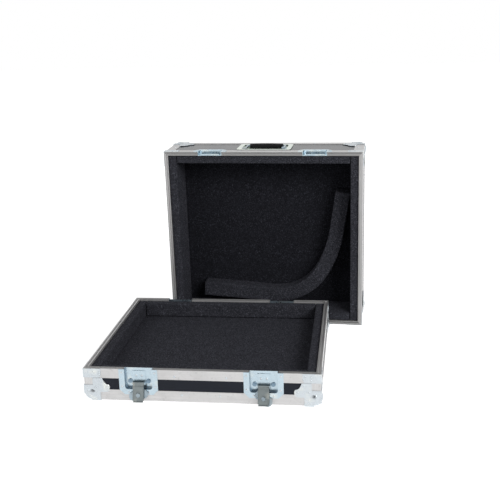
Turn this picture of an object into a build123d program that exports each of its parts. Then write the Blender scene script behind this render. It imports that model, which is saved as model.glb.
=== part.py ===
from build123d import *
import math
import os

# A foam-lined transport case in two halves, drawn open: the deep half stands on its long side with its mouth
# to the front, and the shallow half lies on its back before it. Plywood panels are held in aluminium edging,
# with pressed steel corners, four butterfly latches and a sprung carrying handle. Millimetres, +Z up.

# The case as a whole
case_width = 640.0           # over the aluminium, side to side
case_depth = 580.0           # over the aluminium, from the handle side to the opposite side
base_height = 170.0          # deep half, closed face to mouth
lid_height = 92.0            # shallow half, closed face to mouth

# Plywood and aluminium edging
panel_thickness = 9.5
edge_skin = 1.5              # wall of every aluminium section
edge_leg = 31.0              # leg of the angle round the closed face
corner_leg = 30.0            # leg of the angle on the four upright corners
edge_nose = 2.5              # outer rounding of the angles
rim_leg = 28.0               # outer leg of the rim section
rim_inner_leg = 12.0         # inner leg of the rim section
rim_web = 2.0                # web that closes the rim section over the panel
groove_depth = 4.0           # groove in the shallow half's rim
groove_width = 5.5
tongue_clearance = 0.3       # tongue in groove, per side and at the tip

# Pressed steel corners
ball_radius = 24.0
ball_out = 5.5               # how far the ball stands out of each face
ball_wall = 1.5
ball_core = 44.0             # square part of each leaf
ball_reach = 70.0            # tip of each lobe from the corner
ball_lobe_radius = 9.0
ball_lobe_at = 33.0          # lobe's centre line from the corner
brace_thickness = 1.3
brace_width = 48.0
brace_height = 26.0
brace_corner = 9.0
brace_set_back = 0.8         # brace's edge below the mouth
brace_gap = 0.6              # between the brace and the ball corner's lobe

# Foam lining
foam_thickness = 27.0        # on the four walls, from the rim's inner face
foam_set_back = 5.0          # foam's edge below the mouth
base_foam_floor = 44.0
lid_foam_floor = 30.0

# Curved foam strip on the floor foam of the deep half
strip_thickness = 45.0
strip_depth = 50.0
strip_start = (-222.8, 91.6)     # centre of its lower end: across, and up from the case's long side
strip_heading = -3.7
strip_run = 241.7
strip_bends = ((174.7, 62.3), (387.5, 22.6))
strip_end_run = 134.8

# Latches: two on the handle side and two on the side opposite
latch_offset = 169.0         # centre of each latch from the middle of the case
dish_sheet = 1.2
dish_depth = 11.0            # recess floor below the outer face
dish_corner = 8.0
dish_clearance = 0.8         # recess in its cut-out
flange_width = 106.0
flange_corner = 14.0
flange_set_back = 0.5        # flange's edge from the mouth
recess_width = 75.0
latch_flange_height = 73.0
latch_recess_height = 58.0
keeper_flange_height = 37.0
keeper_recess_height = 27.0
boss_radius = 6.0
boss_height = 2.6
boss_offset = 25.0
boss_drop = 38.0

# Hinge bracket and swinging arm
pin_drop = 42.0              # hinge pin from the mouth
pin_depth = 1.5              # hinge pin below the outer face
pin_radius = 2.0
pin_fit = 0.05
knuckle_radius = 4.0
bracket_sheet = 1.5
bracket_width = 35.0
bracket_top = 8.0            # bracket's upper edge from the mouth
bracket_ear = 2.0
arm_width = 30.0
arm_sheet = 1.6
arm_lip = 1.2                # folded edges that guide the hook
arm_play = 0.3
arm_length = 45.0            # past the pin
hook_sheet = 1.6
hook_lip = 3.2
strike_sheet = 1.4
strike_drop = 4.2            # strike's near face from the mouth
strike_height = 3.4          # strike's lip above the recess floor
strike_width = 62.0
strike_foot = 14.0
strike_foot_run = 15.0
hook_play = 0.3
hook_travel = 8.0
stud_radius = 4.0
stud_head = 1.2
wing_disc_radius = 9.0
wing_sheet = 1.6
wing_span = 53.0
wing_clearance = 0.5         # wing's tip from the arm's knuckle, when it points at the pin
wing_width = 25.0
arm_open_angle = 165.0       # swing from fastened to hanging
wing_turns = (-14.0, 38.0, -14.0, 20.0)

# Carrying handle
handle_flange = (176.0, 100.0)
handle_recess = (146.0, 80.0)
handle_corner = 12.0
grip_radius = 8.0
grip_length = 110.0
grip_back = 31.0             # grip's axis behind the middle of the dish
bail_radius = 4.0
bail_width = 124.0           # between the axes of the two arms
bail_bend = 6.5
bail_depth = 1.5             # bail's axis below the outer face
bail_pivot = 21.0            # pivot ahead of the middle of the dish
bail_eye_radius = 6.5
bail_eye_length = 10.0
bail_pin_radius = 3.0
grip_fit = 0.1

# How the two halves stand in the picture
lid_across = -93.6           # middle of the shallow half, from the middle of the deep half
lid_gap = 52.8               # between the shallow half and the deep half's mouth, for the latches to swing
lid_turn = 2.63

wall = panel_thickness + 2 * edge_skin
panel_inner = edge_skin + panel_thickness
ball_centre = ball_radius - ball_out
female_web = rim_web + groove_depth
pocket_width = recess_width + 2 * dish_sheet
notch_width = pocket_width + 2 * dish_clearance
stud_from_pin = knuckle_radius + wing_clearance + wing_span / 2
lid_ahead = case_depth / 2 + lid_gap


def block(x0, x1, y0, y1, z0, z1):
    """A box between two corners."""
    return Pos((x0 + x1) / 2, (y0 + y1) / 2, (z0 + z1) / 2) * Box(x1 - x0, y1 - y0, z1 - z0)


def side_places():
    """Places of the four sides: each looks inwards along its own +Y from the outer face, X along the side."""
    return [
        (Pos(0, -case_depth / 2, 0), case_width),
        (Pos(case_width / 2, 0, 0) * Rot(0, 0, 90), case_depth),
        (Pos(0, case_depth / 2, 0) * Rot(0, 0, 180), case_width),
        (Pos(-case_width / 2, 0, 0) * Rot(0, 0, 270), case_depth),
    ]


def corner_places():
    """Places of the four corners: the case lies in each one's +X, +Y, +Z octant."""
    half_x, half_y = case_width / 2, case_depth / 2
    return [
        Pos(-half_x, -half_y, 0),
        Pos(half_x, -half_y, 0) * Rot(0, 0, 90),
        Pos(half_x, half_y, 0) * Rot(0, 0, 180),
        Pos(-half_x, half_y, 0) * Rot(0, 0, 270),
    ]


def latch_places(height):
    """Places of the four latches on a half's mouth: X along the wall, +Y inwards, Z = 0 at the mouth."""
    places = []
    for side, turn in ((-1, 0), (1, 180)):
        for offset in (-latch_offset, latch_offset):
            places.append(Pos(offset, side * case_depth / 2, height) * Rot(0, 0, turn))
    return places


def mitred_length(profile, length, reach):
    """One length of edging along X from a profile in (inwards, up), its ends cut at 45 degrees."""
    bar = extrude(Plane.YZ * profile, length / 2, both=True)
    low = bar.bounding_box().min.Z - 1
    tall = bar.bounding_box().max.Z - low + 1
    cut = Polyline((-length / 2, 0), (length / 2, 0), (length / 2 - reach, reach), (-length / 2 + reach, reach), close=True)
    return bar & Pos(0, 0, low) * extrude(make_face(cut), tall)


def corner_relief():
    """What is trimmed off a corner so that it fits inside the ball."""
    inside = Pos(ball_centre, ball_centre, ball_centre) * Sphere(ball_radius - ball_wall)
    return block(-1, ball_centre, -1, ball_centre, -1, ball_centre) - inside


def trim_corners(solid):
    """A solid less the four trimmed corners of the closed face."""
    for place in corner_places():
        solid = solid - place * corner_relief()
    return solid


def closed_panel():
    """The plywood panel of the closed face."""
    half_x = case_width / 2 - edge_skin
    half_y = case_depth / 2 - edge_skin
    return trim_corners(block(-half_x, half_x, -half_y, half_y, edge_skin, panel_inner))


def wall_panels(height, web):
    """Four plywood walls between the closed panel and the rim: front, right, back and left."""
    panels = []
    for number, (place, length) in enumerate(side_places()):
        inset = edge_skin if number % 2 == 0 else panel_inner
        half = length / 2 - inset
        panel = place * block(-half, half, edge_skin, panel_inner, panel_inner, height - web)
        panels.append(trim_corners(panel))
    return panels


def edge_angles():
    """Angle edging round the closed face, in four mitred lengths."""
    outline = Polyline((0, 0), (edge_leg, 0), (edge_leg, edge_skin), (edge_skin, edge_skin), (edge_skin, edge_leg), (0, edge_leg), close=True)
    profile = make_face(outline)
    profile = fillet(profile.vertices().sort_by_distance((0, 0, 0))[0], edge_nose)
    return [trim_corners(place * mitred_length(profile, length, edge_leg)) for place, length in side_places()]


def corner_angles(height):
    """Angle edging on the four upright corners, between the closed edge and the rim."""
    outline = Polyline((0, 0), (corner_leg, 0), (corner_leg, edge_skin), (edge_skin, edge_skin), (edge_skin, corner_leg), (0, corner_leg), close=True)
    profile = make_face(outline)
    profile = fillet(profile.vertices().sort_by_distance((0, 0, 0))[0], edge_nose)
    post = Pos(0, 0, edge_leg) * extrude(profile, height - edge_leg - rim_leg)
    return [place * post for place in corner_places()]


def rim_profile(grooved):
    """Section of the rim in (inwards, up), with the mouth at zero: grooved for the lid, tongued for the base."""
    web = female_web if grooved else rim_web
    section = make_face(Polyline((0, 0), (wall, 0), (wall, -web), (0, -web), close=True))
    section += make_face(Polyline((0, 0), (edge_skin, 0), (edge_skin, -rim_leg), (0, -rim_leg), close=True))
    section += make_face(Polyline((wall - edge_skin, 0), (wall, 0), (wall, -rim_inner_leg), (wall - edge_skin, -rim_inner_leg), close=True))
    if grooved:
        half = groove_width / 2
        taper = half - 0.4
        groove = Polyline((-taper, -groove_depth), (taper, -groove_depth), (half, 1), (-half, 1), close=True)
        return section - Pos(wall / 2, 0) * make_face(groove)
    half = groove_width / 2 - tongue_clearance
    tip = groove_depth - tongue_clearance
    tongue = Polyline((-half, -0.5), (half, -0.5), (half, 0), (half - 0.6, tip), (0.6 - half, tip), (-half, 0), close=True)
    return section + Pos(wall / 2, 0) * make_face(tongue)


def rim_lengths(height, grooved):
    """The rim in four mitred lengths, cut away where the latches cross it."""
    profile = rim_profile(grooved)
    lengths = []
    for place, length in side_places():
        lengths.append(Pos(0, 0, height) * place * mitred_length(profile, length, wall))
    notch = block(-notch_width / 2, notch_width / 2, -1, wall + 1, -rim_leg - 1, groove_depth + 1)
    for place in latch_places(height):
        lengths = [bar - place * notch for bar in lengths]
    return lengths


def leaf_outline(reach_a, reach_b):
    """One leaf of a ball corner: a square with a rounded lobe along each edge."""
    outline = Pos((ball_core - ball_wall) / 2, (ball_core - ball_wall) / 2) * Rectangle(ball_core + ball_wall, ball_core + ball_wall)
    lobe_a = reach_a - ball_lobe_radius
    lobe_b = reach_b - ball_lobe_radius
    outline += Pos(lobe_a / 2, ball_lobe_at) * Rectangle(lobe_a, 2 * ball_lobe_radius)
    outline += Pos(lobe_a, ball_lobe_at) * Circle(ball_lobe_radius)
    outline += Pos(ball_lobe_at, lobe_b / 2) * Rectangle(2 * ball_lobe_radius, lobe_b)
    outline += Pos(ball_lobe_at, lobe_b) * Circle(ball_lobe_radius)
    return outline


def ball_corner(reach_up):
    """Pressed corner over three faces, with a ball at the corner itself."""
    across = Pos(0, 0, -ball_wall) * extrude(leaf_outline(ball_reach, ball_reach), ball_wall)
    front = Rot(90, 0, 0) * extrude(leaf_outline(ball_reach, reach_up), ball_wall)
    side = mirror(front, Plane((0, 0, 0), z_dir=(1, -1, 0)))
    ball = Pos(ball_centre, ball_centre, ball_centre) * Sphere(ball_radius)
    low = -2 * ball_wall
    bend = block(low, ball_centre, low, ball_centre, low, ball_centre) - ball
    body = block(0, 100, 0, 100, 0, 100) - corner_relief()
    return across + front + side - bend + ball - body


def corner_brace(height):
    """Bent plate over the rim at an upright corner."""
    outline = Pos((brace_width - brace_thickness) / 2, -brace_height / 2) * Rectangle(brace_width + brace_thickness, brace_height)
    lower = outline.vertices().sort_by(Axis.Y)[0:2].sort_by(Axis.X)[-1]
    outline = fillet(lower, brace_corner)
    front = Rot(90, 0, 0) * extrude(outline, brace_thickness)
    side = mirror(front, Plane((0, 0, 0), z_dir=(1, -1, 0)))
    return Pos(0, 0, height - brace_set_back) * (front + side)


def wall_foam(height, floor, latch_recess):
    """Foam on the four walls, cut out for the rim's inner leg and the backs of the dishes."""
    half_x, half_y = case_width / 2, case_depth / 2
    inner = wall + foam_thickness
    low = panel_inner + floor
    top = height - foam_set_back
    short = half_y - inner
    foams = [
        block(inner - half_x, half_x - inner, -half_y + panel_inner, inner - half_y, low, top),
        block(half_x - inner, half_x - panel_inner, panel_inner - half_y, half_y - panel_inner, low, top),
        block(inner - half_x, half_x - inner, half_y - inner, half_y - panel_inner, low, top),
        block(panel_inner - half_x, inner - half_x, panel_inner - half_y, half_y - panel_inner, low, top),
    ]
    leg = block(wall - half_x, half_x - wall, wall - half_y, half_y - wall, 0, height + 1)
    leg = block(-half_x, half_x, -half_y, half_y, height - rim_inner_leg, height) - leg
    foams = [foam - leg for foam in foams]
    back = block(-pocket_width / 2, pocket_width / 2, 0, dish_depth + dish_sheet, -latch_recess - dish_sheet, 0)
    for place in latch_places(height):
        foams = [foam - place * back for foam in foams]
    return foams


def floor_foam(floor):
    """Foam on the closed panel, under the wall foam."""
    half_x, half_y = case_width / 2 - panel_inner, case_depth / 2 - panel_inner
    return block(-half_x, half_x, -half_y, half_y, panel_inner, panel_inner + floor)


def curved_strip():
    """Bent foam strip on the floor foam: a straight run, two bends that ease off, and a straight end."""
    across = math.cos(math.radians(strip_heading))
    along = math.sin(math.radians(strip_heading))
    start = Vector(strip_start[0], strip_start[1], 0)
    edges = [Line(start, start + Vector(across, along, 0) * strip_run)]
    for radius, turn in strip_bends:
        edges.append(JernArc(edges[-1] @ 1, edges[-1] % 1, radius, turn))
    edges.append(Line(edges[-1] @ 1, edges[-1] @ 1 + (edges[-1] % 1) * strip_end_run))
    route = Wire([edge.edge() for edge in edges])
    square = Plane(origin=route @ 0, x_dir=(0, 0, 1), z_dir=route % 0)
    section = square * Pos(strip_depth / 2, 0) * Rectangle(strip_depth, strip_thickness)
    return Pos(0, -case_depth / 2, panel_inner + base_foam_floor) * sweep(section, path=route)


def recessed_dish(flange_height, recess_height):
    """Pressed dish with a flange, open towards the mouth: X along the wall, +Y inwards, mouth at Z = 0."""
    face = Pos(0, -(flange_height + flange_set_back) / 2) * Rectangle(flange_width, flange_height - flange_set_back)
    face = chamfer(face.vertices().sort_by(Axis.Y)[0:2], flange_corner)
    flange = extrude(face, dish_sheet)
    outer = pocket_outline(pocket_width, recess_height + dish_sheet, dish_corner + dish_sheet)
    inner = pocket_outline(recess_width, recess_height, dish_corner)
    pocket = Pos(0, 0, -dish_depth - dish_sheet) * extrude(outer, dish_depth + dish_sheet)
    hollow = Pos(0, 0, -dish_depth) * extrude(Pos(0, 1) * inner + inner, dish_depth + dish_sheet + 1)
    return Rot(90, 0, 0) * (flange + pocket - hollow)


def pocket_outline(width, height, corner):
    """Outline of a recess that is open at the top, with its lower corners rounded."""
    outline = Pos(0, -height / 2) * Rectangle(width, height)
    return fillet(outline.vertices().sort_by(Axis.Y)[0:2], corner)


def latch_dish():
    """The shallow half's dish, with its two raised fixing bosses."""
    dish = recessed_dish(latch_flange_height, latch_recess_height)
    for side in (-1, 1):
        boss = extrude(Circle(boss_radius), boss_height) + extrude(Circle(boss_radius * 0.55), boss_height + 1)
        dish += Pos(side * boss_offset, dish_depth, -boss_drop) * Rot(90, 0, 0) * boss
    return dish


def keeper_dish():
    """The deep half's dish, which the hook drops into."""
    return recessed_dish(keeper_flange_height, keeper_recess_height)


def strike():
    """Strike in the keeper: a lip that the hook draws on, on two feet beside the hook's way."""
    lip = block(-strike_width / 2, strike_width / 2, dish_depth - strike_height, dish_depth, -strike_drop - strike_sheet, -strike_drop)
    for side in (-1, 1):
        inner = strike_width / 2 - strike_foot
        foot = block(inner, strike_width / 2, dish_depth - strike_sheet, dish_depth, -strike_drop - strike_foot_run, -strike_drop)
        lip += foot if side > 0 else mirror(foot, Plane.YZ)
    return lip


def hinge_bracket():
    """Plate on the dish floor with two ears that hold the hinge pin."""
    low = -pin_drop - knuckle_radius
    bracket = block(-bracket_width / 2, bracket_width / 2, dish_depth - bracket_sheet, dish_depth, low, -bracket_top)
    rise = dish_depth - pin_depth
    ear = Circle(knuckle_radius) + Pos(rise / 2, 0) * Rectangle(rise, 2 * knuckle_radius) - Circle(pin_radius)
    for start in (-bracket_width / 2, bracket_width / 2 - bracket_ear):
        bracket += at_pin() * Pos(start, 0, 0) * along_x(extrude(ear, bracket_ear))
    return bracket


def at_pin():
    """Place of the hinge pin's middle."""
    return Pos(0, pin_depth, -pin_drop)


def along_x(solid):
    """A solid drawn in (inwards, up) and extruded, turned so that the extrusion runs along +X."""
    return Location(Plane.YZ) * solid


def hinge_pin():
    """Riveted pin through the ears and the arm's knuckle."""
    half = bracket_width / 2
    pin = extrude(Circle(pin_radius), half, both=True)
    for side in (0, 1):
        head = extrude(Circle(pin_radius + 1.0), 1.0)
        pin += mirror(Pos(0, 0, half) * head, Plane.XY) if side else Pos(0, 0, half) * head
    return at_pin() * along_x(pin)


def swing_arm():
    """Arm in its fastened place: a knuckle round the pin and a shallow channel that guides the hook."""
    half = arm_width / 2
    near = knuckle_radius - arm_sheet
    deep = knuckle_radius + hook_sheet + arm_play
    knuckle = extrude(Circle(knuckle_radius), half, both=True)
    arm = along_x(knuckle) + block(-half, half, near, knuckle_radius, 0, arm_length)
    for side in (-1, 1):
        edge = block(half - arm_lip, half, near, deep, knuckle_radius + 2, arm_length)
        arm += edge if side > 0 else mirror(edge, Plane.YZ)
    arm -= along_x(extrude(Circle(pin_radius + pin_fit), arm_width, both=True))
    arm -= stud_place() * extrude(Circle(stud_radius + arm_play), 20, both=True)
    return at_pin() * arm


def stud_place():
    """Axis of the butterfly's stud, pointing outwards, from the hinge pin."""
    return Pos(0, 0, stud_from_pin) * Rot(90, 0, 0)


def draw_hook():
    """Hook in its drawn-in place: a plate in the arm's channel, slotted for the stud, with a lip that catches."""
    half = arm_width / 2 - arm_lip - arm_play
    tip = pin_drop + strike_drop + strike_sheet + hook_play + hook_sheet - 2 * (strike_drop + strike_sheet)
    near = knuckle_radius + arm_play / 2
    far = near + hook_sheet
    start = knuckle_radius + 3
    reach = pin_drop + strike_drop + strike_sheet + hook_play + hook_sheet
    hook = block(-half, half, near, far, start, reach)
    hook += block(-half, half, near, far + hook_lip, reach - hook_sheet, reach)
    slot = Pos(0, 0, stud_from_pin) * Rot(90, 0, 0) * Pos(0, -hook_travel / 2, 0)
    window = Rot(0, 0, 90) * SlotCenterToCenter(hook_travel, 2 * (stud_radius + arm_play))
    hook -= slot * extrude(window, 30, both=True)
    return at_pin() * hook


def butterfly():
    """Turning stud with its retaining head inside and its two wings outside."""
    outside = -(knuckle_radius - arm_sheet)
    inside = -(knuckle_radius + arm_play + hook_sheet)
    stud = Pos(0, 0, inside) * extrude(Circle(stud_radius), outside - inside)
    stud += Pos(0, 0, inside - stud_head) * extrude(Circle(stud_radius + 1.6), stud_head)
    stud += Pos(0, 0, outside) * extrude(Circle(wing_disc_radius), wing_sheet)
    end = wing_width / 2
    reach = wing_span / 2 - end
    wing = Pos(reach / 2, 0) * Rectangle(reach, wing_width * 0.62) + Pos(reach, 0) * Circle(end)
    wings = wing + mirror(wing, Plane.YZ)
    stud += Pos(0, 0, outside + wing_sheet) * extrude(wings, wing_sheet)
    return at_pin() * stud_place() * stud


def swung(solid, angle):
    """A piece of the arm, swung out about the hinge pin."""
    return at_pin() * Rot(angle, 0, 0) * at_pin().inverse() * solid


def turned(solid, angle):
    """The butterfly, turned about its stud."""
    axis = at_pin() * stud_place()
    return axis * Rot(0, 0, angle) * axis.inverse() * solid


def handle_dish():
    """Shallow pressed dish for the handle, with its pivot pins' bosses on the end walls."""
    flange = extrude(fillet(Rectangle(*handle_flange).vertices(), handle_corner), dish_sheet)
    width, height = handle_recess
    sheet = 2 * dish_sheet
    outer = fillet(Rectangle(width + sheet, height + sheet).vertices(), handle_corner + dish_sheet)
    inner = fillet(Rectangle(width, height).vertices(), handle_corner)
    pocket = Pos(0, 0, -dish_depth - dish_sheet) * extrude(outer, dish_depth + dish_sheet)
    hollow = Pos(0, 0, -dish_depth) * extrude(inner, dish_depth + dish_sheet + 1)
    return Rot(90, 0, 0) * (flange + pocket - hollow)


def handle_pins():
    """Two pins from the dish's end walls into the bail's eyes."""
    outer = handle_recess[0] / 2
    inner = bail_width / 2 - bail_eye_length / 2
    pin = at_bail() * Pos(inner, 0, 0) * along_x(extrude(Circle(bail_pin_radius), outer - inner))
    collar_from = bail_width / 2 + bail_eye_length / 2 + 0.3
    collar = at_bail() * Pos(collar_from, 0, 0) * along_x(extrude(Circle(bail_pin_radius + 1.5), outer - collar_from))
    pin += collar
    return [pin, mirror(pin, Plane.YZ)]


def at_bail():
    """Place of the bail's pivot axis."""
    return Pos(0, bail_depth, bail_pivot)


def handle_bail():
    """Round bar in a U: two eyes on the pivot pins, two arms and the bar through the grip."""
    half = bail_width / 2
    reach = -(bail_pivot + grip_back)
    route = FilletPolyline((-half, 0, 0), (-half, 0, reach), (half, 0, reach), (half, 0, 0), radius=bail_bend)
    bar = sweep(Plane(origin=route @ 0, z_dir=route % 0) * Circle(bail_radius), path=route)
    for side in (-1, 1):
        eye = extrude(Circle(bail_eye_radius), bail_eye_length / 2, both=True)
        bar += Pos(side * half, 0, 0) * along_x(eye)
    for side in (-1, 1):
        bore = extrude(Circle(bail_pin_radius + pin_fit), bail_eye_length, both=True)
        bar -= Pos(side * half, 0, 0) * along_x(bore)
    return at_bail() * bar


def handle_grip():
    """Moulded grip on the bail, swelling a little to the middle."""
    half = grip_length / 2
    end = grip_radius - 1.2
    inner = bail_radius + grip_fit
    swell = ThreePointArc((-half, end), (0, grip_radius), (half, end))
    outline = Polyline((half, end), (half, inner), (-half, inner), (-half, end))
    profile = make_face([swell.edge()] + outline.edges())
    grip = revolve(profile, Axis.X)
    return Pos(0, bail_depth, -grip_back) * grip


def cut_dishes(panels, height, recess_height):
    """Wall panels cut out for the dishes."""
    half = pocket_width / 2 + dish_clearance
    drop = recess_height + dish_sheet + dish_clearance
    cut = block(-half, half, -1, wall + 1, -drop, 1)
    for place in latch_places(height):
        panels = [panel - place * cut for panel in panels]
    return panels


def handle_place():
    """Place of the handle: the middle of the panel between the edging, on the handle side."""
    middle = (edge_leg + base_height - rim_leg) / 2
    return Pos(0, case_depth / 2, middle) * Rot(0, 0, 180)


def named(prefix, names, solids):
    """Solids by name."""
    return {prefix + name: solid for name, solid in zip(names, solids)}


def base_half():
    """The deep half, lying on its closed face."""
    sides = ("bottom", "right", "top", "left")
    panels = cut_dishes(wall_panels(base_height, rim_web), base_height, keeper_recess_height)
    width, height = handle_recess
    half_width = width / 2 + dish_sheet + dish_clearance
    half_height = height / 2 + dish_sheet + dish_clearance
    opening = handle_place() * block(-half_width, half_width, -1, wall + 1, -half_height, half_height)
    panels[2] = panels[2] - opening
    foams = wall_foam(base_height, base_foam_floor, keeper_recess_height)
    back = block(-half_width, half_width, 0, dish_depth + dish_sheet, -half_height, half_height)
    foams[2] = foams[2] - handle_place() * back
    floor = floor_foam(base_foam_floor) - handle_place() * back
    reach_up = min(ball_reach, base_height - brace_set_back - brace_height - brace_gap)
    parts = {"base_back_panel": closed_panel()}
    parts.update(named("base_wall_", sides, panels))
    parts["base_edge_angles"] = edge_angles()
    parts["base_corner_angles"] = corner_angles(base_height)
    parts["base_rim"] = rim_lengths(base_height, False)
    parts["base_ball_corners"] = [place * ball_corner(reach_up) for place in corner_places()]
    parts["base_corner_braces"] = [place * corner_brace(base_height) for place in corner_places()]
    parts["keeper_dishes"] = [place * keeper_dish() for place in latch_places(base_height)]
    parts["keeper_strikes"] = [place * strike() for place in latch_places(base_height)]
    parts["base_foam_back"] = floor
    parts.update(named("base_foam_", sides, foams))
    parts["base_foam_strip"] = curved_strip()
    parts["handle_dish"] = handle_place() * handle_dish()
    parts["handle_pins"] = [handle_place() * pin for pin in handle_pins()]
    parts["handle_bail"] = handle_place() * handle_bail()
    parts["handle_grip"] = handle_place() * handle_grip()
    return parts


def lid_half():
    """The shallow half, lying on its closed face."""
    sides = ("front", "right", "back", "left")
    panels = cut_dishes(wall_panels(lid_height, female_web), lid_height, latch_recess_height)
    foams = wall_foam(lid_height, lid_foam_floor, latch_recess_height)
    floor = floor_foam(lid_foam_floor)
    back = block(-pocket_width / 2, pocket_width / 2, 0, dish_depth + dish_sheet, -latch_recess_height - dish_sheet, 0)
    for place in latch_places(lid_height):
        floor = floor - place * back
    reach_up = min(ball_reach, lid_height - brace_set_back - brace_height - brace_gap)
    parts = {"lid_panel": closed_panel()}
    parts.update(named("lid_wall_", sides, panels))
    parts["lid_edge_angles"] = edge_angles()
    parts["lid_corner_angles"] = corner_angles(lid_height)
    parts["lid_rim"] = rim_lengths(lid_height, True)
    parts["lid_ball_corners"] = [place * ball_corner(reach_up) for place in corner_places()]
    parts["lid_corner_braces"] = [place * corner_brace(lid_height) for place in corner_places()]
    parts["lid_foam_floor"] = floor
    parts.update(named("lid_foam_", sides, foams))
    parts["latch_dishes"] = [place * latch_dish() for place in latch_places(lid_height)]
    parts["latch_brackets"] = [place * hinge_bracket() for place in latch_places(lid_height)]
    parts["latch_pins"] = [place * hinge_pin() for place in latch_places(lid_height)]
    for number, place in enumerate(latch_places(lid_height), 1):
        parts[f"latch_arm_{number}"] = place * swung(swing_arm(), arm_open_angle)
        parts[f"latch_hook_{number}"] = place * swung(draw_hook(), arm_open_angle)
        wings = turned(butterfly(), wing_turns[number - 1])
        parts[f"latch_butterfly_{number}"] = place * swung(wings, arm_open_angle)
    return parts


def base_stand():
    """Stands the deep half on its long side, leaning on its ball corners so that its mouth faces the front."""
    lean = math.degrees(math.atan((ball_out - brace_thickness) / (base_height - ball_centre)))
    upright = Pos(0, base_height, case_depth / 2) * Rot(90, 0, 0)
    return Pos(0, 0, brace_thickness) * Rot(lean, 0, 0) * upright


def lid_stand():
    """Lays the shallow half on its ball corners before the deep half, turned a little."""
    return Pos(lid_across, -lid_ahead, ball_out) * Rot(0, 0, lid_turn)


def pieces(solid, place):
    """The solids of a sub-part, given as one shape or a list of them, at a place."""
    shapes = solid if isinstance(solid, list) else [solid]
    return [place * piece for shape in shapes for piece in shape.solids()]


def assembly():
    """Every sub-part's solids by name, with the floor at Z = 0 under the middle of the whole, and that shift."""
    parts = {name: pieces(solid, base_stand()) for name, solid in base_half().items()}
    parts.update({name: pieces(solid, lid_stand()) for name, solid in lid_half().items()})
    boxes = [piece.bounding_box() for solids in parts.values() for piece in solids]
    middle_x = (min(box.min.X for box in boxes) + max(box.max.X for box in boxes)) / 2
    middle_y = (min(box.min.Y for box in boxes) + max(box.max.Y for box in boxes)) / 2
    shift = Pos(-middle_x, -middle_y, -min(box.min.Z for box in boxes))
    return {name: [shift * piece for piece in solids] for name, solids in parts.items()}, shift


def main():
    """Writes one STEP file per sub-part."""
    os.makedirs("parts", exist_ok=True)
    parts, shift = assembly()
    for name, solids in parts.items():
        shape = solids[0] if len(solids) == 1 else Compound(children=solids)
        export_step(shape, os.path.join("parts", name + ".step"))
    print(len(parts), "sub-parts; middle moved by", [round(value, 3) for value in shift.position])


if __name__ == "__main__":
    main()
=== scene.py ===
import math

import bpy
import numpy as np
from mathutils import Matrix, Vector


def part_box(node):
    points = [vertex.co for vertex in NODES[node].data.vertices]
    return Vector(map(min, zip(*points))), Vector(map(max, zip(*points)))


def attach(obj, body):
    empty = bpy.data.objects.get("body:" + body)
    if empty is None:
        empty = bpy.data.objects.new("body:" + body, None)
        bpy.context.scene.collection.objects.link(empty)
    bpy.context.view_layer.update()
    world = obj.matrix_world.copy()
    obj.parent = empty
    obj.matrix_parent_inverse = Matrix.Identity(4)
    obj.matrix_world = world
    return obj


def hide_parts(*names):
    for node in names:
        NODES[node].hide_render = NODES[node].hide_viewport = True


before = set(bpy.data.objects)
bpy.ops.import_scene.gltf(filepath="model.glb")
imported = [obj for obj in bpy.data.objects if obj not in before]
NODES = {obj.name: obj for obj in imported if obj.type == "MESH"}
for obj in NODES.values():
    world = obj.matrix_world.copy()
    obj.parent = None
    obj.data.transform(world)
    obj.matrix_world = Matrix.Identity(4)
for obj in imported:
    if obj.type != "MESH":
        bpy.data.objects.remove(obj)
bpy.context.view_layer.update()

bl_info = {
    "name": "Foam-lined transport case",
    "version": (1, 0, 0),
    "blender": (4, 5, 0),
    "location": "3D View > Sidebar > Case",
    "description": "Finishes, foam lining and fasteners of an open two-part transport case",
    "category": "Object",
}

MM = 0.001

# Sizes of the case that the scene's own pieces seat on, in millimetres
CASE_WIDTH = 640.0
CASE_DEPTH = 580.0
BASE_HEIGHT = 170.0
LID_HEIGHT = 92.0
WALL = 12.5
PANEL_OUTER = 1.5
PANEL_INNER = 11.0
FOAM_WALL = 27.0
FOAM_SET_BACK = 5.0
BASE_FLOOR = 44.0
LID_FLOOR = 30.0
LATCH_OFFSET = 169.0

# The deep half's lean on its corner balls, as a slope, and the lid's turn in degrees
BALL_LEAN = 4.2 / 151.5
LID_TURN = 2.63

# Centre line of the curved strip in millimetres and degrees: its start, its heading, and its runs,
# each a straight's length with no turn, or a bend's radius with the angle it turns through
STRIP_START = (-222.8, 91.6)
STRIP_HEADING = -3.7
STRIP_RUNS = ((241.7, 0.0), (174.7, 62.3), (387.5, 22.6), (134.8, 0.0))
STRIP_WIDTH = 45.0
STRIP_DEPTH = 50.0
STRIP_SPARE = 4.0
ROUTE_STEP = 0.25

# The foam's surface: grid lines through a rounded end, as shares of the rounding, and its waves,
# each with its length in millimetres and its share, and the seeds of the waves
ROUNDED_END = (0.0, 0.15, 0.4, 0.7, 1.0)
FOAM_WAVES = ((0.21, 1.0), (0.13, 0.7), (0.071, 0.5), (0.034, 0.28), (0.019, 0.16))
BASE_WALL_SEED = 11
LID_WALL_SEED = 31
BASE_FLOOR_SEED = 51
LID_FLOOR_SEED = 61
STRIP_SEED = 71

# Rivets, in millimetres. On a corner's leaf: from the side's end, out from the side, and up
CORNER_RIVETS = ((62.0, 1.5, 37.0), (46.0, 1.42, 56.0), (31.0, 1.5, 38.0))
# On a brace: from the side's end, below the mouth, and out
BRACE_RIVET_ENDS = (26.0, 42.0)
BRACE_RIVET_DROPS = (10.5, 19.5)
BRACE_OUT = 1.3
# Along the edging: inset and count of a row on a long side, a short side and the closed face
LONG_ROW = (165.0, 4)
SHORT_ROW = (105.0, 5)
FACE_ROW = (110.0, 5)
FLANGE_MIDDLE = 20.0
RIM_RIVET_DROP = 19.0
RIM_RIVET_OFFSET = 70.0
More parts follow.
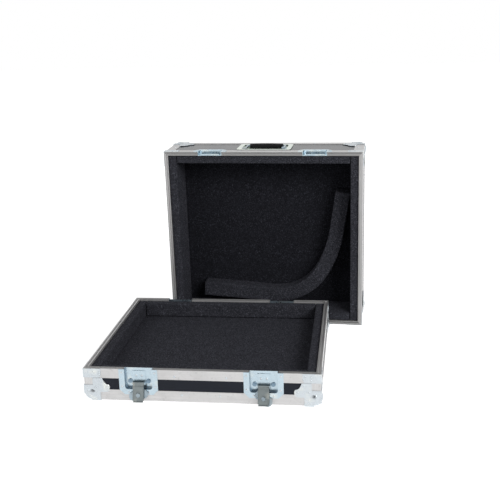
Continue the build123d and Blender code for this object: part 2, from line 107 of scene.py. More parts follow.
# On the corner angles, which only a half of some height has room for
POST_RIVET_LEAST_HEIGHT = 120.0
POST_RIVET_LIFT = 8.0
# On a keeper's dish, and on a latch's dish and bracket: across from its middle, out, and below the
# mouth
KEEPER_RIVETS = tuple((x, 1.2, drop) for x in (-45.5, 45.5) for drop in (10.0, 27.0))
LATCH_RIVETS = tuple((x, 1.2, drop) for x in (-45.5, 45.5) for drop in (10.0, 50.0)) + (
    (-27.0, 1.2, 66.5), (27.0, 1.2, 66.5), (-8.0, -9.5, 22.0), (8.0, -9.5, 22.0))
# A rivet's head: its rings in degrees from the crown, its sides, and its sunk underside
RIVET_RINGS = (7.2, 27.0, 48.0, 69.0, 90.0)
RIVET_SIDES = 14
RIVET_FOOT = -0.15
RIVET_FOOT_SHARE = 0.35

# The sheet between a corner pressing's lobes, in millimetres from the corner: the lobe that it goes
# round, how far out its edge starts to soften and ends, and how far the edge is drawn in
WEB_LOBE = (62.5, 38.0)
WEB_LOBE_RADIUS = 8.5
WEB_SOFT_FROM = 1.05
WEB_OUT = 1.42
WEB_DRAWN_IN = 0.35

# Finishes: where nearly all of a noise's grey lies, the scales along and across the drawn lines,
# the depth in millimetres of the painted shade at the mouth, the depths in metres at which a
# recess's painted shade sets in and ends, with its strength, and the colours of single pieces
NOISE_RANGE = (0.3, 0.7)
LINES_ALONG = 3.0
LINES_ACROSS = 900.0
MOUTH_SKIN = 0.4
# Depths and strength of the painted shade on a dish's recess walls
RECESS_TOP = (0.0004, 0.0016)
RECESS_FLOOR = (0.0095, 0.0108)
RECESS_STRENGTH = 0.85
STRAW = (0.76, 0.75, 0.66)
RECESS_PAINTED_SHADE = (0.13, 0.20, 0.27)
HANDLE_DISH = (0.66, 0.72, 0.66)

# Stage, in metres: the lamps and what they point at, the floor, and for metal the direction of the
# studio's dark end, the cosines between which it sets in, and its darkness
KEY_PLACE = (3.0, -2.7, 2.5)
KEY_SIZE = 2.2
FILL_PLACE = (-2.6, -1.8, 1.8)
FILL_SIZE = 2.4
LIGHT_TARGET = (0.0, 0.0, 0.2)
FLOOR_REACH = 14.0
FLOOR_FADE = (0.5, 1.5)
FLOOR_GLOW = (0.78, 1.0)
DARK_END = (0.19, -0.92, 0.34)
DARK_END_COSINES = (0.86, 0.97)
DARK_END_SHARE = 0.88

# The photograph's camera: its place in millimetres, and its yaw, pitch and roll in radians
CAMERA_PLACE = (468.57, -2382.958, 1004.6)
CAMERA_TURNS = (0.1749, 0.2750, -0.0276)
SENSOR_WIDTH = 36.0


def box_centre(node):
    """Middle of a CAD node's box."""
    low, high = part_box(node)
    return (low + high) / 2


def half_places():
    """Matrices from each half's own millimetres, which run across, over the depth and from the
    closed face to the mouth, to the scene in metres."""
    scale = Matrix.Scale(MM, 4)
    middle = Matrix.Translation((0, 0, -(PANEL_OUTER + PANEL_INNER) / 2))
    lean = Matrix.Rotation(math.atan(BALL_LEAN), 4, "X")
    upright = lean @ Matrix.Rotation(math.pi / 2, 4, "X")
    base = Matrix.Translation(box_centre("base_back_panel")) @ upright @ scale @ middle
    turned = Matrix.Rotation(math.radians(LID_TURN), 4, "Z")
    lid = Matrix.Translation(box_centre("lid_panel")) @ turned @ scale @ middle
    return base, lid


BASE_PLACE, LID_PLACE = half_places()


class CaseSizes(bpy.types.PropertyGroup):
    """Sizes of the scene's own pieces."""
    foam_rounding: bpy.props.FloatProperty(
        name="Foam edge rounding", description="Radius of the cut foam's edges",
        default=0.003, unit="LENGTH")
    foam_wave: bpy.props.FloatProperty(
        name="Foam wave", description="How far the cut foam's faces wander",
        default=0.0012, unit="LENGTH")
    foam_gap: bpy.props.FloatProperty(
        name="Foam gap", description="Space between a foam piece and what holds it",
        default=0.0003, unit="LENGTH")
    foam_grid: bpy.props.FloatProperty(
        name="Foam grid", description="Largest step of the foam's surface grid",
        default=0.007, unit="LENGTH")
    rivet_radius: bpy.props.FloatProperty(
        name="Rivet head radius", description="Radius of a domed rivet head",
        default=0.0032, unit="LENGTH")
    rivet_height: bpy.props.FloatProperty(
        name="Rivet head height", description="Height of a domed rivet head",
        default=0.00112, unit="LENGTH")


class CaseColours(bpy.types.PropertyGroup):
    """Colours of the finishes."""
    laminate: bpy.props.FloatVectorProperty(
        name="Laminate", description="Black laminate with a blue cast",
        subtype="COLOR", default=(0.0040, 0.0065, 0.014))
    aluminium: bpy.props.FloatVectorProperty(
        name="Aluminium", description="Mill-finish edging",
        subtype="COLOR", default=(0.565, 0.56, 0.56))
    zinc: bpy.props.FloatVectorProperty(
        name="Zinc", description="Blue-white zinc plating",
        subtype="COLOR", default=(0.45, 0.545, 0.605))
    corners: bpy.props.FloatVectorProperty(
        name="Corners", description="Paler zinc plating of the corner pressings",
        subtype="COLOR", default=(0.52, 0.56, 0.59))
    # Painted reflection: the arms' darker, greyer colour stands in for the dark surroundings they
    # mirror
    levers: bpy.props.FloatVectorProperty(
        name="Levers", description="Greyer plating of the latches' swinging arms",
        subtype="COLOR", default=(0.275, 0.31, 0.315))
    foam: bpy.props.FloatVectorProperty(
        name="Foam", description="Charcoal open-cell foam",
        subtype="COLOR", default=(0.040, 0.041, 0.050))
    # Painted shade: the back sheet's foam is darker to stand in for the shade deep in the cavity
    back_foam_painted_shade: bpy.props.FloatVectorProperty(
        name="Back foam", description="Darker foam of the deep half's back sheet",
        subtype="COLOR", default=(0.016, 0.0165, 0.021))
    rubber: bpy.props.FloatVectorProperty(
        name="Rubber", description="Moulded black grip",
        subtype="COLOR", default=(0.004, 0.004, 0.0045))


class CaseStage(bpy.types.PropertyGroup):
    """Light and camera."""
    key_power: bpy.props.FloatProperty(
        name="Key light", description="Power of the large light from the front right",
        default=150.0, unit="POWER")
    fill_power: bpy.props.FloatProperty(
        name="Fill light", description="Power of the soft light from the left",
        default=22.0, unit="POWER")
    sky: bpy.props.FloatProperty(
        name="Sky", description="Strength of the even light all round",
        default=0.30)
    lens: bpy.props.FloatProperty(
        name="Lens", description="Focal length of the camera on a 36 mm sensor",
        default=60.33, unit="CAMERA")


# Shader helpers

def set_inputs(tree, made, inputs):
    """Links each input of a shader node to a socket, or sets it to a value."""
    for name, value in inputs.items():
        if isinstance(value, bpy.types.NodeSocket):
            tree.links.new(value, made.inputs[name])
        else:
            made.inputs[name].default_value = value


def add_node(tree, kind, inputs=None, **settings):
    """One shader node with its settings and its inputs."""
    made = tree.nodes.new("ShaderNode" + kind)
    for name, value in settings.items():
        setattr(made, name, value)
    set_inputs(tree, made, inputs or {})
    return made


def new_material(name):
    """A material with an empty tree, its shader and its output."""
    material = bpy.data.materials.new(name)
    material.use_nodes = True
    tree = material.node_tree
    tree.nodes.clear()
    shader = add_node(tree, "BsdfPrincipled")
    add_node(tree, "OutputMaterial", {"Surface": shader.outputs["BSDF"]})
    return material, tree, shader


def maths(tree, operation, first, second=0.0):
    """The output of one maths node."""
    return add_node(tree, "Math", {0: first, 1: second}, operation=operation).outputs[0]


def noise(tree, vector, scale=1.0, detail=3.0, roughness=0.5):
    """The grey output of a noise texture."""
    inputs = {"Vector": vector, "Scale": scale, "Detail": detail, "Roughness": roughness}
    return add_node(tree, "TexNoise", inputs).outputs[0]


def cell_distance(tree, vector, scale):
    """The distance to the middle of the nearest cell of a Voronoi texture."""
    inputs = {"Vector": vector, "Scale": scale}
    return add_node(tree, "TexVoronoi", inputs).outputs["Distance"]


def spread(tree, value, span, out=(0.0, 1.0)):
    """A grey value stretched from one range to another and held inside it."""
    inputs = {"Value": value, "From Min": span[0], "From Max": span[1],
              "To Min": out[0], "To Max": out[1]}
    return add_node(tree, "MapRange", inputs).outputs[0]


def tint(tree, factor, first, second):
    """A colour between two colours."""
    first, second = (colour if isinstance(colour, bpy.types.NodeSocket) else (*colour[:3], 1.0)
                     for colour in (first, second))
    return add_node(tree, "Mix", {0: factor, 6: first, 7: second}, data_type="RGBA").outputs[2]


def shade(colour, amount):
    """A colour made lighter or darker."""
    return tuple(min(1.0, c * amount) for c in colour)


def bump(tree, height, strength, distance, normal=None):
    """A bump from a grey height."""
    inputs = {"Height": height, "Strength": strength, "Distance": distance}
    if normal is not None:
        inputs["Normal"] = normal
    return add_node(tree, "Bump", inputs).outputs[0]


def object_place(tree):
    """The Object coordinates."""
    return add_node(tree, "TexCoord").outputs["Object"]


def own_place(tree, place):
    """Object coordinates in a half's own frame, in metres, by a Mapping node."""
    inverse = (place @ Matrix.Scale(1 / MM, 4)).inverted()
    inputs = {"Vector": object_place(tree), "Location": inverse.to_translation(),
              "Rotation": inverse.to_euler()}
    return add_node(tree, "Mapping", inputs, vector_type="POINT").outputs[0]


def stretched(tree, vector, scale):
    """Coordinates with a scale of their own along each axis."""
    return add_node(tree, "Mapping", {"Vector": vector, "Scale": scale}).outputs[0]


def drawn_lines(tree, where, axis):
    """Fine lines that run along one axis."""
    scale = [LINES_ACROSS] * 3
    scale[axis] = LINES_ALONG
    return noise(tree, stretched(tree, where, scale))


# Finishes

def laminate_finish(colour):
    """Black laminate: a fine moulded grain, faint rubs and a satin gloss."""
    material, tree, shader = new_material("black_laminate")
    where = object_place(tree)
    grain = noise(tree, where, scale=700.0, detail=2.0)
    cells = cell_distance(tree, where, scale=520.0)
    cloud = noise(tree, where, scale=7.0, detail=5.0, roughness=0.6)
    rubs = noise(tree, stretched(tree, where, (90.0, 9.0, 14.0)), detail=4.0)
    base = tint(tree, cloud, shade(colour, 0.75), shade(colour, 1.35))
    worn = spread(tree, rubs, (0.62, 0.78), (0.0, 0.35))
    relief = maths(tree, "ADD", maths(tree, "MULTIPLY", grain, 0.5), cells)
    set_inputs(tree, shader, {
        "Base Color": tint(tree, worn, base, shade(colour, 2.6)),
        "Roughness": spread(tree, cloud, NOISE_RANGE, (0.12, 0.22)),
        "Normal": bump(tree, relief, strength=0.06, distance=0.0002),
        "Specular IOR Level": 0.2,
    })
    return material


def aluminium_finish(name, colour, place, upright=False, mouth=None):
    """Mill-finish extrusion: draw lines that run along each length and meet at the mitres, dulled
    in patches. The faces at the mouth, where the halves meet, get a painted shade of darker grey
    for dark reflections and groove shade, with painted light paler on the left and right sides."""
    material, tree, shader = new_material(name)
    where = own_place(tree, place)
    if upright:
        lines = drawn_lines(tree, where, 2)
    else:
        axes = add_node(tree, "SeparateXYZ", {"Vector": where}).outputs
        from_side, from_end = (
            maths(tree, "SUBTRACT", maths(tree, "ABSOLUTE", axes[axis]), length * MM / 2)
            for axis, length in ((0, CASE_WIDTH), (1, CASE_DEPTH)))
        on_side = maths(tree, "GREATER_THAN", from_side, from_end)
        ways = {0: on_side, 2: drawn_lines(tree, where, 0), 3: drawn_lines(tree, where, 1)}
        lines = add_node(tree, "Mix", ways).outputs[0]
    patches = noise(tree, where, scale=22.0, detail=6.0, roughness=0.65)
    marks = spread(tree, noise(tree, where, scale=160.0, detail=4.0), (0.60, 0.72), (0.0, 0.5))
    base = tint(tree, spread(tree, lines, NOISE_RANGE), shade(colour, 0.86), shade(colour, 1.06))
    dull = spread(tree, patches, (0.45, 0.75), (0.0, 0.6))
    dulled = tint(tree, dull, base, shade(colour, 0.84))
    surface = tint(tree, marks, dulled, shade(colour, 0.68))
    # Painted shade at the mouth for dark reflections; painted light keeps the sides paler
    if mouth is not None:
        rubbed = maths(tree, "GREATER_THAN", axes[2], (mouth - MOUTH_SKIN) * MM)
        dark = tint(tree, lines, shade(colour, 0.38), shade(colour, 0.56))
        pale = tint(tree, lines, shade(colour, 0.58), shade(colour, 0.84))
        surface = tint(tree, rubbed, surface, tint(tree, on_side, dark, pale))
    drawn = spread(tree, lines, NOISE_RANGE, (0.36, 0.50))
    clouded = spread(tree, patches, NOISE_RANGE, (0.0, 0.12))
    set_inputs(tree, shader, {
        "Base Color": surface,
        "Roughness": maths(tree, "ADD", drawn, clouded),
        "Normal": bump(tree, lines, strength=0.12, distance=0.0002),
        "Metallic": 0.85,
    })
    return material


def zinc_finish(name, colour, grey=1.0, rough=0.0, recessed=None):
    """Blue-white zinc plating: small spangle, a straw-coloured cast in places and dull handling
    marks. In a dish of the half at the place recessed, the walls between the flange and the floor
    get a painted shade of dark blue for the shade and dark reflections in the recess."""
    material, tree, shader = new_material(name)
    where = object_place(tree)
    cloud = noise(tree, where, scale=45.0, detail=5.0, roughness=0.6)
    spangle = cell_distance(tree, where, scale=380.0)
    straw = spread(tree, noise(tree, where, scale=28.0), (0.55, 0.72), (0.0, 0.45))
    scratches = noise(tree, stretched(tree, where, (60.0, 800.0, 800.0)))
    base = tint(tree, cloud, shade(colour, 0.80 * grey), shade(colour, 1.12 * grey))
    plated = tint(tree, straw, base, shade(STRAW, grey))
    dull = spread(tree, scratches, (0.62, 0.74), (0.0, 0.4))
    # Painted shade: the dish walls are tinted dark blue for the recess's shade and dark reflections
    if recessed is not None:
        across = add_node(tree, "SeparateXYZ", {"Vector": own_place(tree, recessed)}).outputs[1]
        depth = maths(tree, "SUBTRACT", CASE_DEPTH * MM / 2, maths(tree, "ABSOLUTE", across))
        below_flange = spread(tree, depth, RECESS_TOP, (0.0, RECESS_STRENGTH))
        above_floor = spread(tree, depth, RECESS_FLOOR, (1.0, 0.0))
        walls = maths(tree, "MULTIPLY", below_flange, above_floor)
        plated = tint(tree, walls, plated, RECESS_PAINTED_SHADE)
    clouded = spread(tree, cloud, NOISE_RANGE, (0.20 + rough, 0.38 + rough))
    relief = maths(tree, "ADD", maths(tree, "MULTIPLY", cloud, 1.5),
                   maths(tree, "MULTIPLY", spangle, 0.4))
    set_inputs(tree, shader, {
        "Base Color": tint(tree, dull, plated, shade(colour, 0.6 * grey)),
        "Roughness": maths(tree, "ADD", clouded, maths(tree, "MULTIPLY", dull, 0.3)),
        "Normal": bump(tree, relief, strength=0.10, distance=0.0005),
        "Metallic": 0.95,
    })
    return material


def foam_finish(name, colour):
    """Charcoal open-cell foam: torn cells a millimetre or two wide, pale specks where the walls
    catch the light."""
    material, tree, shader = new_material(name)
    where = object_place(tree)
    cells = cell_distance(tree, where, scale=420.0)
    coarse = noise(tree, where, scale=260.0, detail=4.0, roughness=0.7)
    lumps = noise(tree, where, scale=34.0, detail=4.0, roughness=0.6)
    specks = noise(tree, where, scale=330.0, detail=2.0)
    grains = noise(tree, where, scale=120.0, detail=3.0, roughness=0.7)
    pores = spread(tree, cells, (0.10, 0.55))
    base = tint(tree, pores, shade(colour, 1.5), shade(colour, 0.55))
    mottle = spread(tree, lumps, (0.35, 0.65), (0.0, 0.6))
    mottled = tint(tree, mottle, base, shade(colour, 0.55))
    grain = spread(tree, grains, (0.50, 0.72), (0.0, 0.5))
    grained = tint(tree, grain, mottled, shade(colour, 1.9))
    speck = spread(tree, specks, (0.56, 0.70))
    relief = maths(tree, "ADD", maths(tree, "MULTIPLY", coarse, 1.2),
                   maths(tree, "MULTIPLY", cells, -1.0))
    fine = bump(tree, relief, strength=0.7, distance=0.0012)
    set_inputs(tree, shader, {
        "Base Color": tint(tree, speck, grained, shade(colour, 2.6)),
        "Roughness": spread(tree, coarse, NOISE_RANGE, (0.90, 1.0)),
        "Normal": bump(tree, lumps, strength=0.35, distance=0.003, normal=fine),
        "Specular IOR Level": 0.05,
    })
    return material


def rubber_finish(colour):
    """Moulded rubber: a pebbled skin, rubbed smoother in places."""
    material, tree, shader = new_material("grip_rubber")
    where = object_place(tree)
    pebble = cell_distance(tree, where, scale=900.0)
    cloud = noise(tree, where, scale=60.0, detail=4.0)
    set_inputs(tree, shader, {
        "Base Color": tint(tree, cloud, shade(colour, 0.8), shade(colour, 1.6)),
        "Roughness": spread(tree, cloud, NOISE_RANGE, (0.50, 0.68)),
        "Normal": bump(tree, pebble, strength=0.3, distance=0.0003),
        "Specular IOR Level": 0.15,
    })
    return material


def dress(names, material):
    """Gives CAD nodes a finish."""
    for name in names:
        piece = NODES[name]
        piece.data.materials.clear()
        piece.data.materials.append(material)


# Surfaces

def graded_steps(length, rounding, step):
    """Positions along one edge: close together through each rounded end, even in between."""
    end = np.array(ROUNDED_END) * rounding
    count = max(2, int(math.ceil((length - 2 * rounding) / step)))
    middle = np.linspace(rounding, length - rounding, count + 1)[1:-1]
    return np.concatenate([end, middle, length - end[::-1]])


def slab_grid(size, rounding, step):
    """Points and quads of a box's six faces on one graded grid, welded along the edges."""
    steps = [graded_steps(length, rounding, step) for length in size]
    points, quads, used = [], [], 0
    for axis in range(3):
        first, second = (axis + 1) % 3, (axis + 2) % 3
        a, b = np.meshgrid(steps[first], steps[second], indexing="ij")
        rows, columns = a.shape
        index = np.arange(rows * columns).reshape(rows, columns)
        corner = [index[:-1, :-1], index[1:, :-1], index[1:, 1:], index[:-1, 1:]]
        for level, order in ((size[axis], (0, 1, 2, 3)), (0.0, (3, 2, 1, 0))):
            face = np.zeros((rows * columns, 3))
            face[:, first], face[:, second], face[:, axis] = a.ravel(), b.ravel(), level
            points.append(face)
            quads.append(np.stack([corner[k].ravel() for k in order], axis=1) + used)
            used += rows * columns
    points, quads = np.concatenate(points), np.concatenate(quads)
    welded, place = np.unique(np.round(points, 8), axis=0, return_inverse=True)
    return welded, place.ravel()[quads]


def foam_slab(size, rounding, wave, step, seed):
    """Rounded slab: each point of the box is pulled onto a sphere's radius round the nearest point
    of a smaller box, then in along its normal by a sum of sines of its place, so it never leaves
    the box. The sines are far shorter than the grid, so the faces are uneven from point to point
    and don't swell in long waves."""
    size = np.array(size)
    points, quads = slab_grid(size, rounding, step)
    core = np.clip(points, rounding, size - rounding)
    normal = points - core
    normal /= np.linalg.norm(normal, axis=1, keepdims=True)
    draw = np.random.default_rng(seed)
    swing = np.zeros(len(points))
    for length, share in FOAM_WAVES:
        heading = draw.normal(size=3)
        heading /= np.linalg.norm(heading)
        along = points @ heading * (2 * math.pi / length)
        swing += share * np.sin(along + draw.uniform(0, 2 * math.pi))
    swing /= sum(share for _, share in FOAM_WAVES)
    depth = wave * (0.5 - 0.5 * swing)
    return core + normal * (rounding - depth)[:, None], quads


def run_length(size, turn):
    """Length of one run: a straight's own, or a bend's radius times its angle."""
    return size * abs(math.radians(turn)) if turn else size


def strip_length():
    """Length of the strip's centre line."""
    return sum(run_length(*run) for run in STRIP_RUNS)


def strip_route(distance, sideways):
    """Points of the strip's plan: the heading is the running sum of the curvature along the centre
    line, and the place the running sum of the heading; each point stands off the line along its
    normal."""
    lengths = np.array([run_length(*run) for run in STRIP_RUNS])
    turns = np.radians([turn for _, turn in STRIP_RUNS])
    ends = np.concatenate([[0.0], np.cumsum(lengths)])
    fine = np.arange(0.0, ends[-1] + ROUTE_STEP, ROUTE_STEP)
    which = np.clip(np.searchsorted(ends, fine, side="right") - 1, 0, len(lengths) - 1)

    def running(rate):
        """Sum of a rate over the steps up to each point of the route."""
        return np.concatenate([[0.0], np.cumsum(rate[:-1] * ROUTE_STEP)])

    heading = math.radians(STRIP_HEADING) + running((turns / lengths)[which])
    x = STRIP_START[0] + running(np.cos(heading))
    y = STRIP_START[1] - CASE_DEPTH / 2 + running(np.sin(heading))
    x, y, at = (np.interp(distance, fine, line) for line in (x, y, heading))
    return x - np.sin(at) * sideways, y + np.cos(at) * sideways


def mesh_piece(name, points, faces, material, smooth=True):
    """An object at the origin whose mesh holds these points and faces."""
    mesh = bpy.data.meshes.new(name)
    mesh.from_pydata(points.tolist(), [], faces)
    mesh.validate()
    mesh.polygons.foreach_set("use_smooth", np.full(len(mesh.polygons), smooth))
    mesh.materials.append(material)
    piece = bpy.data.objects.new(name, mesh)
    bpy.context.scene.collection.objects.link(piece)
    return piece


def placed(points, place):
    """Points taken through a 4 by 4 matrix."""
    matrix = np.array(place)
    return points @ matrix[:3, :3].T + matrix[:3, 3]


def foam_piece(name, node, body, low, high, place, seed, bend=None, finish="charcoal_foam"):
    """A padded foam piece between two corners of a half's own frame, standing for its CAD node."""
    sizes = bpy.context.scene.case_sizes
    gap = sizes.foam_gap / MM
    low, high = np.array(low, float) + gap, np.array(high, float) - gap
    rounding, wave, step = (
        size / MM for size in (sizes.foam_rounding, sizes.foam_wave, sizes.foam_grid))
    points, quads = foam_slab(high - low, rounding, wave, step, seed)
    points = points + low
    if bend is not None:
        points = bend(points)
    piece = mesh_piece(name, placed(points, place), quads.tolist(), bpy.data.materials[finish])
    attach(piece, body)
    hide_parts(node)
    return piece


def line_walls(half, names, height, floor, place, seed):
    """Foam on the four walls of one half, from the floor foam to just below the mouth."""
    x, y = CASE_WIDTH / 2, CASE_DEPTH / 2
    inner = WALL + FOAM_WALL
    low, top = PANEL_INNER + floor, height - FOAM_SET_BACK
    spans = (
        ((inner - x, WALL - y, low), (x - inner, inner - y, top)),
        ((x - inner, WALL - y, low), (x - WALL, y - WALL, top)),
        ((inner - x, y - inner, low), (x - inner, y - WALL, top)),
        ((WALL - x, WALL - y, low), (inner - x, y - WALL, top)),
    )
    for number, (name, (start, end)) in enumerate(zip(names, spans)):
        node = f"{half}_foam_{name}"
        foam_piece(f"{half}_lining_{name}", node, half, start, end, place, seed + number)


def line_floor(half, node, floor, place, seed, finish):
    """Foam on the closed panel of one half."""
    x, y = CASE_WIDTH / 2 - PANEL_INNER, CASE_DEPTH / 2 - PANEL_INNER
    low, high = (-x, -y, PANEL_INNER), (x, y, PANEL_INNER + floor)
    foam_piece(f"{half}_lining_floor", node, half, low, high, place, seed, finish=finish)


# Rivets

def side_frames():
    """Frames of the four outer sides of a half, with their lengths: X along the side, Y inwards, Z
    towards the mouth."""
    x, y = CASE_WIDTH / 2, CASE_DEPTH / 2
    return [
        (Matrix.Translation((0, -y, 0)), 2 * x),
        (Matrix.Translation((x, 0, 0)) @ Matrix.Rotation(math.pi / 2, 4, "Z"), 2 * y),
        (Matrix.Translation((0, y, 0)) @ Matrix.Rotation(math.pi, 4, "Z"), 2 * x),
        (Matrix.Translation((-x, 0, 0)) @ Matrix.Rotation(-math.pi / 2, 4, "Z"), 2 * y),
    ]


def side_place(side, along, out, up):
    """Matrix of a rivet on a side, with its crown outwards."""
    return side @ Matrix.Translation((along, -out, up)) @ Matrix.Rotation(math.pi / 2, 4, "X")


def rivet_row(length, row):
    """Places along a length that leave an inset free at both ends."""
    inset, count = row
    return [float(x) for x in np.linspace(inset - length / 2, length / 2 - inset, count)]


def side_rivets(height, stands):
    """Rivets on the four sides of a half. A half that stands on its first side has none under its
    mouth, where it meets the floor."""
    places = []
    for number, (side, length) in enumerate(side_frames()):
        half, spots = length / 2, []
        for end in (-1, 1):
            spots += [(end * (half - x), out, up) for x, out, up in CORNER_RIVETS]
            spots += [(end * (half - x), BRACE_OUT, height - drop)
                      for x in BRACE_RIVET_ENDS for drop in BRACE_RIVET_DROPS]
        rim = height - RIM_RIVET_DROP
        if number % 2 == 0:
            spots += [(x, 0.0, FLANGE_MIDDLE) for x in rivet_row(length, LONG_ROW)]
            spots += [(x, 0.0, rim) for x in (-RIM_RIVET_OFFSET, RIM_RIVET_OFFSET)]
        else:
            row = rivet_row(length, SHORT_ROW)
            spots += [(x, 0.0, up) for x in row for up in (FLANGE_MIDDLE, rim)]
        if height > POST_RIVET_LEAST_HEIGHT:
            middle = height / 2 + POST_RIVET_LIFT
            spots += [(end * (half - FLANGE_MIDDLE), 0.0, middle) for end in (-1, 1)]
        if stands and number == 0:
            spots = [spot for spot in spots if spot[2] < height / 2]
        places += [side_place(side, *spot) for spot in spots]
    return places


def dish_rivets(height, rivets, stands):
    """Rivets round the dishes on the two long sides, but not under a half that stands on the first
    of them."""
    frames = side_frames()
    return [side_place(side, centre + x, out, height - drop)
            for side in (frames[0][0], frames[2][0])[int(stands):]
            for centre in (-LATCH_OFFSET, LATCH_OFFSET)
            for x, out, drop in rivets]


def face_rivets():
    """Rivets on the closed face: on each corner's leaf and along the edging."""
    x, y = CASE_WIDTH / 2, CASE_DEPTH / 2
    far, out, near = CORNER_RIVETS[0]
    spots = [(sx * (x - a), sy * (y - b), out)
             for sx in (-1, 1) for sy in (-1, 1) for a, b in ((far, near), (near, far))]
    row_x, row_y = rivet_row(2 * x, FACE_ROW), rivet_row(2 * y, FACE_ROW)
    spots += [(a, s * (y - FLANGE_MIDDLE), 0.0) for a in row_x for s in (-1, 1)]
    spots += [(s * (x - FLANGE_MIDDLE), b, 0.0) for b in row_y for s in (-1, 1)]
    turned = Matrix.Rotation(math.pi, 4, "X")
    return [Matrix.Translation((a, b, -out)) @ turned for a, b, out in spots]


def rivet_heads(name, body, places, half):
    """Domed heads in one mesh: radius R sin and height H cos of the angle from the crown, closed
    underneath."""
    sizes = bpy.context.scene.case_sizes
    radius, height = sizes.rivet_radius / MM, sizes.rivet_height / MM
    angle = np.radians(RIVET_RINGS)
    ring_r = np.append(radius * np.sin(angle), radius * RIVET_FOOT_SHARE)
    ring_z = np.append(height * np.cos(angle), RIVET_FOOT)
    turn = np.arange(RIVET_SIDES)
    around = turn * (2 * math.pi / RIVET_SIDES)
    rings = np.stack([np.outer(ring_r, np.cos(around)), np.outer(ring_r, np.sin(around)),
                      np.repeat(ring_z[:, None], RIVET_SIDES, 1)], 2)
    shape = np.concatenate([rings.reshape(-1, 3), [[0, 0, height], [0, 0, RIVET_FOOT]]])
    ring, step = np.meshgrid(np.arange(len(ring_r) - 1), turn, indexing="ij")
    a, b = ring * RIVET_SIDES + step, ring * RIVET_SIDES + (step + 1) % RIVET_SIDES
    quads = np.stack([a, a + RIVET_SIDES, b + RIVET_SIDES, b], 2).reshape(-1, 4)
    after, last = (turn + 1) % RIVET_SIDES, (len(ring_r) - 1) * RIVET_SIDES
    top, foot = (np.full(RIVET_SIDES, len(shape) - back) for back in (2, 1))
    caps = np.concatenate([np.stack([top, turn, after], 1),
                           np.stack([foot, last + after, last + turn], 1)])
    matrices = np.array([np.array(half @ place) for place in places])
    points = np.einsum("nij,pj->npi", matrices[:, :3, :3], shape) + matrices[:, None, :3, 3]
    offsets = (np.arange(len(places)) * len(shape))[:, None, None]
    faces = (quads[None] + offsets).reshape(-1, 4).tolist()
    faces += (caps[None] + offsets).reshape(-1, 3).tolist()
    piece = mesh_piece(name, points.reshape(-1, 3), faces, bpy.data.materials["zinc_pressings"])
    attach(piece, body)
    return piece


# Corner webs

def web_outline(free):
    """Outline of the sheet between a corner pressing's lobes, in millimetres from the corner: round
    the end of one lobe, then up to the brace over the rim, or over a rounded end where the brace is
    far off."""
    turn = np.radians(np.linspace(-75.0, 95.0, 10))
    lobe = np.array(WEB_LOBE) + WEB_LOBE_RADIUS * np.stack([np.cos(turn), np.sin(turn)], 1)
    foot = [(26.0, 26.0), (58.0, 29.0)]
    shoulder = [(57.5, 49.5), (55.0, 54.0), (52.8, 58.0)]
    if free:
        end = [(50.5, 62.0), (46.0, 66.5), (40.0, 69.0), (33.0, 69.5), (26.5, 67.5), (24.5, 62.0)]
    else:
        end = [(51.8, 61.5), (51.4, 64.5), (24.5, 64.5)]
    return np.concatenate([foot, lobe, shoulder, end])


def corner_webs(name, body, half, outline):
    """Sheets of one outline at both ends of the four sides: straight up, then a softened edge that
    is drawn in along the outline's normal."""
    along = np.roll(outline, -1, 0) - np.roll(outline, 1, 0)
    along /= np.linalg.norm(along, axis=1, keepdims=True)
    drawn = outline + WEB_DRAWN_IN * np.stack([-along[:, 1], along[:, 0]], 1)
    count = len(outline)
    shape = np.concatenate([
        np.column_stack([ring, np.full(count, out)])
        for ring, out in ((outline, 0.0), (outline, WEB_SOFT_FROM), (drawn, WEB_OUT))])
    here = np.arange(count)
    after = (here + 1) % count
    wall = np.stack([here, here + count, after + count, after], 1)
    walls = np.concatenate([wall, wall + count])
    points, faces = [], []
    for side, length in side_frames():
        for end in (-1, 1):
            start = len(points) * len(shape)
            local = [end * (length / 2 - shape[:, 0]), -shape[:, 2], shape[:, 1]]
            points.append(placed(np.column_stack(local), half @ side))
            faces += (start + walls[:, ::end]).tolist()
            faces.append((start + 2 * count + here)[::-end].tolist())
            faces.append((start + here)[::end].tolist())
    material = bpy.data.materials["zinc_pressings"]
    piece = mesh_piece(name, np.concatenate(points), faces, material, smooth=False)
    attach(piece, body)
    return piece


# Operators

class CASE_OT_panels(bpy.types.Operator):
    """Gives the plywood panels their black laminate"""
    bl_idname = "case.panels"
    bl_label = "Panels"

    def execute(self, context):
        names = ["base_back_panel", "lid_panel"]
        names += [f"base_wall_{side}" for side in ("bottom", "right", "top", "left")]
        names += [f"lid_wall_{side}" for side in ("front", "right", "back", "left")]
        dress(names, laminate_finish(context.scene.case_colours.laminate))
        return {"FINISHED"}


class CASE_OT_edging(bpy.types.Operator):
    """Gives the aluminium edging its drawn finish"""
    bl_idname = "case.edging"
    bl_label = "Edging"

    def execute(self, context):
        colour = context.scene.case_colours.aluminium
        halves = (("base", BASE_PLACE, BASE_HEIGHT), ("lid", LID_PLACE, LID_HEIGHT))
        for half, place, mouth in halves:
            edge = aluminium_finish(f"{half}_edging_aluminium", colour, place)
            dress([f"{half}_edge_angles"], edge)
            rim = aluminium_finish(f"{half}_rim_aluminium", colour, place, mouth=mouth)
            dress([f"{half}_rim"], rim)
            post = aluminium_finish(f"{half}_post_aluminium", colour, place, upright=True)
            dress([f"{half}_corner_angles"], post)
        return {"FINISHED"}


